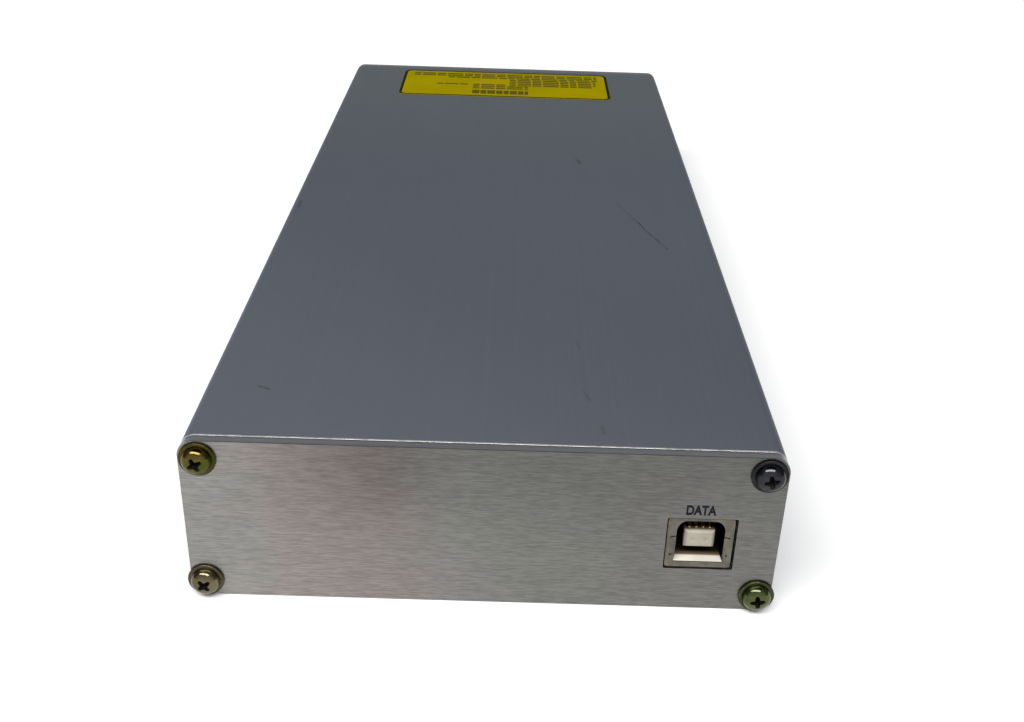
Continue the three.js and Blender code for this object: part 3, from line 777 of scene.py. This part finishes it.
def washer_piece(name, outer, thickness):
    soft = thickness * 0.35
    profile = (arc(outer - soft, soft, soft, -90, 0, 4)
               + arc(outer - soft, thickness - soft, soft, 0, 90, 4)
               + [(WASHER_BORE, thickness), (WASHER_BORE, 0.0)])
    return smooth(turned(name, profile, 96), 50)


def darken_recess(screw, shadow, out, seat, height, centre):
    """Painted shade in the recess: the faces that lie below the dome and near the axis."""
    screw.data.materials.append(shadow)
    for face in screw.data.polygons:
        off = Vector((face.center.x - centre.x, 0, face.center.z - centre.z)).length
        depth = (face.center.y - seat) * out
        inside = 0 < depth < height * 0.97 and off < RECESS_REACH
        steep = abs(face.normal.y) < 0.9 or depth < height * 0.5
        if inside and steep:
            face.material_index = 1


def make_end_screw(materials, end, out, i, recess_turn):
    """One screw and its washer, built facing +Z and then laid along Y where the CAD has them.

    out is 1 where the head faces +Y, and -1 where it faces -Y.
    """
    screw_node, washer_node = f"{end}_screw_{i}", f"{end}_washer_{i}"
    low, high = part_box(screw_node)
    washer_low, washer_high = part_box(washer_node)
    centre = (low + high) / 2
    tip, far = (high.y, low.y) if out > 0 else (low.y, high.y)
    seat, base = (washer_high.y, washer_low.y) if out > 0 else (washer_low.y, washer_high.y)
    height = abs(tip - seat)
    lay = Matrix.Rotation(math.radians(-90 * out), 4, "X")

    slot = SLOT_OF[screw_node]
    head_radius = (high.x - low.x) / 2 - HEAD_INSIDE
    screw = screw_piece(f"{end}_pan_screw_{i}", head_radius, height, abs(seat - far), recess_turn)
    screw.data.transform(Matrix.Translation((centre.x, seat, centre.z)) @ lay)
    dress(screw, materials[slot], screw_node)
    darken_recess(screw, materials["recess_shadow"], out, seat, height, centre)

    slot = SLOT_OF[washer_node]
    washer = washer_piece(f"{end}_flat_washer_{i}", (washer_high.x - washer_low.x) / 2,
                          washer_high.y - washer_low.y)
    washer.data.transform(Matrix.Translation((centre.x, base, centre.z)) @ lay)
    dress(washer, materials[f"{slot}_washer"], washer_node)


def make_end_screws(materials):
    for end, out in (("rear", -1), ("front", 1)):
        for i, recess_turn in enumerate(RECESS_TURNS[end], start=1):
            make_end_screw(materials, end, out, i, recess_turn)


# ---- USB receptacle ----

CAN_SKIN = 0.45 * MM
MOUTH_HALF = 4.32 * MM
SILL_UP, BROW_UP = 1.25 * MM, 10.15 * MM  # bottom and top of the mouth, over the can's bottom
TONGUE_HALF = 2.74 * MM
TONGUE_FOOT_UP, TONGUE_TOP_UP = 3.85 * MM, 7.45 * MM  # over the can's bottom


def mouth_outline(middle, bottom):
    """The port's mouth: its upper corners rounded, and its sides flared out at the sill."""
    across, drop, steps = 1.85 * MM, 2.25 * MM, 12
    flare, flare_top = 0.24 * MM, bottom + SILL_UP + 1.5 * MM
    turns = [math.radians(90 * i / steps) for i in range(steps + 1)]
    shoulder = [(MOUTH_HALF - across + across * math.cos(t),
                 bottom + BROW_UP - drop + drop * math.sin(t)) for t in turns]
    right = [(MOUTH_HALF + flare, bottom + SILL_UP), (MOUTH_HALF, flare_top)] + shoulder
    return [(middle + u, v) for u, v in right] + [(middle - u, v) for u, v in reversed(right)]


def make_usb_can(materials):
    """The drawn steel can, with slits for its springs and dimples beside the mouth."""
    low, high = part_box("usb_shell")
    middle = (low.x + high.x) / 2
    outer = rounded((low.x, high.x), (low.z, high.z), 0.5 * MM)
    inner = rounded((low.x + CAN_SKIN, high.x - CAN_SKIN), (low.z + CAN_SKIN, high.z - CAN_SKIN),
                    0.3 * MM)
    can = applied(bevelled(prism("usb_can", outer, low.y, high.y, "Y"), 0.12 * MM))
    front = (low.y - MM, low.y + MM)
    tools = [
        prism("cavity_tool", inner, low.y + CAN_SKIN, high.y + MM, "Y"),
        prism("mouth_tool", mouth_outline(middle, low.z), *front, "Y"),
    ]
    for side in (-1, 1):
        slit_x, slit_z = middle + side * (MOUTH_HALF + 0.5 * MM), low.z + 6.7 * MM
        tilt = -side * 0.12 * MM
        level = rounded(about(slit_x, 0.55 * MM), about(slit_z, 0.11 * MM), 0.05 * MM, 2)
        slit = [(u, v + (tilt if u > slit_x else -tilt)) for u, v in level]
        tools.append(prism("slit_tool", slit, *front, "Y"))
        dimple = arc(middle + side * (MOUTH_HALF + 0.75 * MM), low.z + 2.75 * MM, 0.2 * MM,
                     0, 342, 19)
        tools.append(prism("dimple_tool", dimple, low.y - MM, low.y + 0.3 * MM, "Y"))
    smooth(carve(can, *tools), 35)
    dress(can, materials["usb_steel"], "usb_shell")
    can.data.materials.append(materials["port_shadow"])
    within = 0.9 * CAN_SKIN
    for face in can.data.polygons:
        x, y, z = face.center
        between_sides = low.x + within < x < high.x - within
        if between_sides and low.z + within < z < high.z - within and y > low.y + within:
            face.material_index = 1


def make_usb_insulator(materials):
    """The moulding in the can: a chamfered tongue, a ramp up from the sill, and a back."""
    low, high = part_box("usb_shell")
    middle, sill = (low.x + high.x) / 2, low.z + SILL_UP
    tip, back = low.y + 0.75 * MM, high.y - 3.5 * MM
    chamfer = 0.5 * MM
    foot, top = low.z + TONGUE_FOOT_UP, low.z + TONGUE_TOP_UP
    body = rectangle(about(middle, TONGUE_HALF), (foot, top))
    face = rectangle(about(middle, TONGUE_HALF - chamfer),
                     (foot + 0.7 * chamfer, top - 0.7 * chamfer))
    tongue = loft("usb_tongue", [(face, tip), (body, tip + chamfer), (body, back)], "Y")
    for side in (-1, 1):
        mark = arc(middle + side * 1.25 * MM, (foot + top) / 2, 0.32 * MM, 0, 340, 17)
        carve(tongue, prism("mark_tool", mark, tip - MM, tip + 0.12 * MM, "Y"))

    on_sill, floor, step = sill + 0.03 * MM, low.z + 0.5 * MM, sill + 0.75 * MM
    sections = [  # as [half width, bottom, top, place along Y]
        (MOUTH_HALF + 0.16 * MM, on_sill, sill + 0.12 * MM, low.y + 0.1 * MM),
        (4.35 * MM, on_sill, sill + 0.35 * MM, low.y + 0.47 * MM),
        (4.12 * MM, floor, step, low.y + 1.0 * MM),
        (4.1 * MM, floor, step, back),
    ]
    rings = [(rectangle(about(middle, half), heights), y) for half, *heights, y in sections]
    ramp = loft("usb_ramp", rings, "Y")
    block = prism("usb_back", rectangle(about(middle, 5.2 * MM), (floor, high.z - 0.6 * MM)), back,
                  high.y - 0.2 * MM, "Y")

    for piece, node in ((tongue, "usb_insulator"), (ramp, None), (block, None)):
        moulded = smooth(applied(bevelled(piece, 0.1 * MM, 3, 25.0)), 30)
        dress(moulded, materials["port_moulding"], node)


def make_usb_contacts(materials):
    """Sprung gold strips that lie over the tongue, each with a raised and rounded tip."""
    can_low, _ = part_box("usb_shell")
    top = can_low.z + TONGUE_TOP_UP + 0.05 * MM
    start, crest = can_low.y + 1.75 * MM, can_low.y + 2.7 * MM
    half, thick, rise = 0.33 * MM, 0.18 * MM, 0.5 * MM
    for i in range(1, 5):
        node = f"usb_contact_{i}"
        low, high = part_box(node)
        rings = []
        for y, lift, narrow in ((start, 0.0, 0.6), (start + 0.25 * MM, 0.12, 0.9),
                                (crest, 1.0, 1.0), (crest + 1.6 * MM, 0.5, 1.0),
                                (high.y, 0.5, 1.0)):
            under = top + lift * rise
            outline = rectangle(about((low.x + high.x) / 2, half * narrow), (under, under + thick))
            rings.append((outline, y))
        strip = bevelled(loft(f"usb_spring_{i}", rings, "Y"), 0.04 * MM, 2, 30.0)
        dress(smooth(applied(strip), 40), materials["gold_contact"], node)


# ---- Label and lettering ----

PRINT_THICKNESS = 0.015 * MM
PRINT_SUNK = 1.2 * PRINT_THICKNESS  # from the print's top to its underside, in the sheet
BORDER_MARGIN, BORDER_WIDTH = 0.05 * MM, 0.9 * MM

# Lines of print, as [how far up the label, start and end across it, height in millimetres].
# The last is the heading.
PRINT_LINES = [
    (0.86, 0.05, 0.95, 1.4),
    (0.79, 0.05, 0.95, 1.4),
    (0.72, 0.22, 0.95, 1.4),
    (0.65, 0.52, 0.94, 1.4),
    (0.58, 0.52, 0.94, 1.4),
    (0.51, 0.52, 0.94, 1.4),
    (0.44, 0.52, 0.92, 1.4),
    (0.44, 0.17, 0.32, 1.3),
    (0.44, 0.345, 0.50, 1.4),
    (0.37, 0.345, 0.61, 1.4),
    (0.30, 0.345, 0.61, 1.4),
    (0.10, 0.345, 0.61, 4.2),
]
WORD_WIDTHS, WORD_GAP = (2.2, 4.6, 3.1, 5.4, 2.8), 0.5  # millimetres, taken in turn
HEADING_WIDTHS, HEADING_GAP = (2.4, 1.9, 2.6, 2.1, 1.7), 0.35


def label_outline(inset, radius):
    low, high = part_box("info_label")
    return rounded((low.x + inset, high.x - inset), (low.y + inset, high.y - inset), radius, 12)


def make_label(materials):
    """A yellow sticker with a thin black border and bars that stand for its lines of print."""
    low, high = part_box("info_label")
    sheet = prism("label_sheet", label_outline(0, 2.6 * MM), low.z, high.z - PRINT_THICKNESS)
    dress(bevelled(sheet, 0.03 * MM, 2), materials["label_yellow"], "info_label")

    border = prism("label_border", label_outline(BORDER_MARGIN, 2.5 * MM), high.z - PRINT_SUNK,
                   high.z)
    inside = label_outline(BORDER_MARGIN + BORDER_WIDTH, 1.7 * MM)
    carve(border, prism("border_tool", inside, high.z - MM, high.z + MM))
    dress(border, materials["black_ink"])

    dress(print_bars(low, high), materials["faded_ink"])


def print_bars(low, high):
    """One mesh of plain bars, word by word, between the label's lowest and highest corners."""
    vertices, faces = [], []
    for up, start, end, tall in PRINT_LINES:
        heading = (up, start, end, tall) == PRINT_LINES[-1]
        widths, gap = (HEADING_WIDTHS, HEADING_GAP) if heading else (WORD_WIDTHS, WORD_GAP)
        y = low.y + up * (high.y - low.y)
        x, stop = low.x + start * (high.x - low.x), low.x + end * (high.x - low.x)
        step = 0
        while x < stop - 0.5 * MM:
            word = min(widths[step % len(widths)] * MM, stop - x)
            bar = rounded((x, x + word), (y, y + tall * MM), 0.2 * MM, 2)
            faces += body_faces(len(bar), 2, len(vertices))
            vertices += [(u, v, z) for z in (high.z - PRINT_SUNK, high.z) for u, v in bar]
            x += word + gap * MM
            step += 1
    return smooth(object_from("label_print", vertices, faces))


def make_port_marking(materials):
    """A generic word over the port, in plain capitals."""
    plate_low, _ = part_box("rear_end_plate")
    can_low, can_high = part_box("usb_shell")
    curve = bpy.data.curves.new("port_marking", "FONT")
    curve.body = "DATA"
    curve.align_x = "CENTER"
    curve.size = 2.74 * MM
    curve.space_character = 1.02
    curve.extrude = 0.01 * MM
    curve.offset = 0.12 * MM  # makes the strokes bolder
    word = bpy.data.objects.new("port_marking", curve)
    bpy.context.scene.collection.objects.link(word)
    mesh = bpy.data.meshes.new_from_object(
        word.evaluated_get(bpy.context.evaluated_depsgraph_get()))
    bpy.data.objects.remove(word)
    marking = bpy.data.objects.new("port_marking", mesh)
    bpy.context.scene.collection.objects.link(marking)
    place = Matrix.Translation(((can_low.x + can_high.x) / 2 - 0.5 * MM, plate_low.y - 0.012 * MM,
                                can_high.z + 1.0 * MM))
    upright = Matrix.Rotation(math.radians(90), 4, "X")
    condensed = Matrix.Diagonal((0.71, 1, 1, 1))
    marking.data.transform(place @ upright @ condensed)
    dress(marking, materials["grey_ink"])


# ---- Build ----

materials = make_materials()
make_camera()
make_stage()
dress_nodes(materials)
make_end_screws(materials)
make_usb_can(materials)
make_usb_insulator(materials)
make_usb_contacts(materials)
make_label(materials)
make_port_marking(materials)
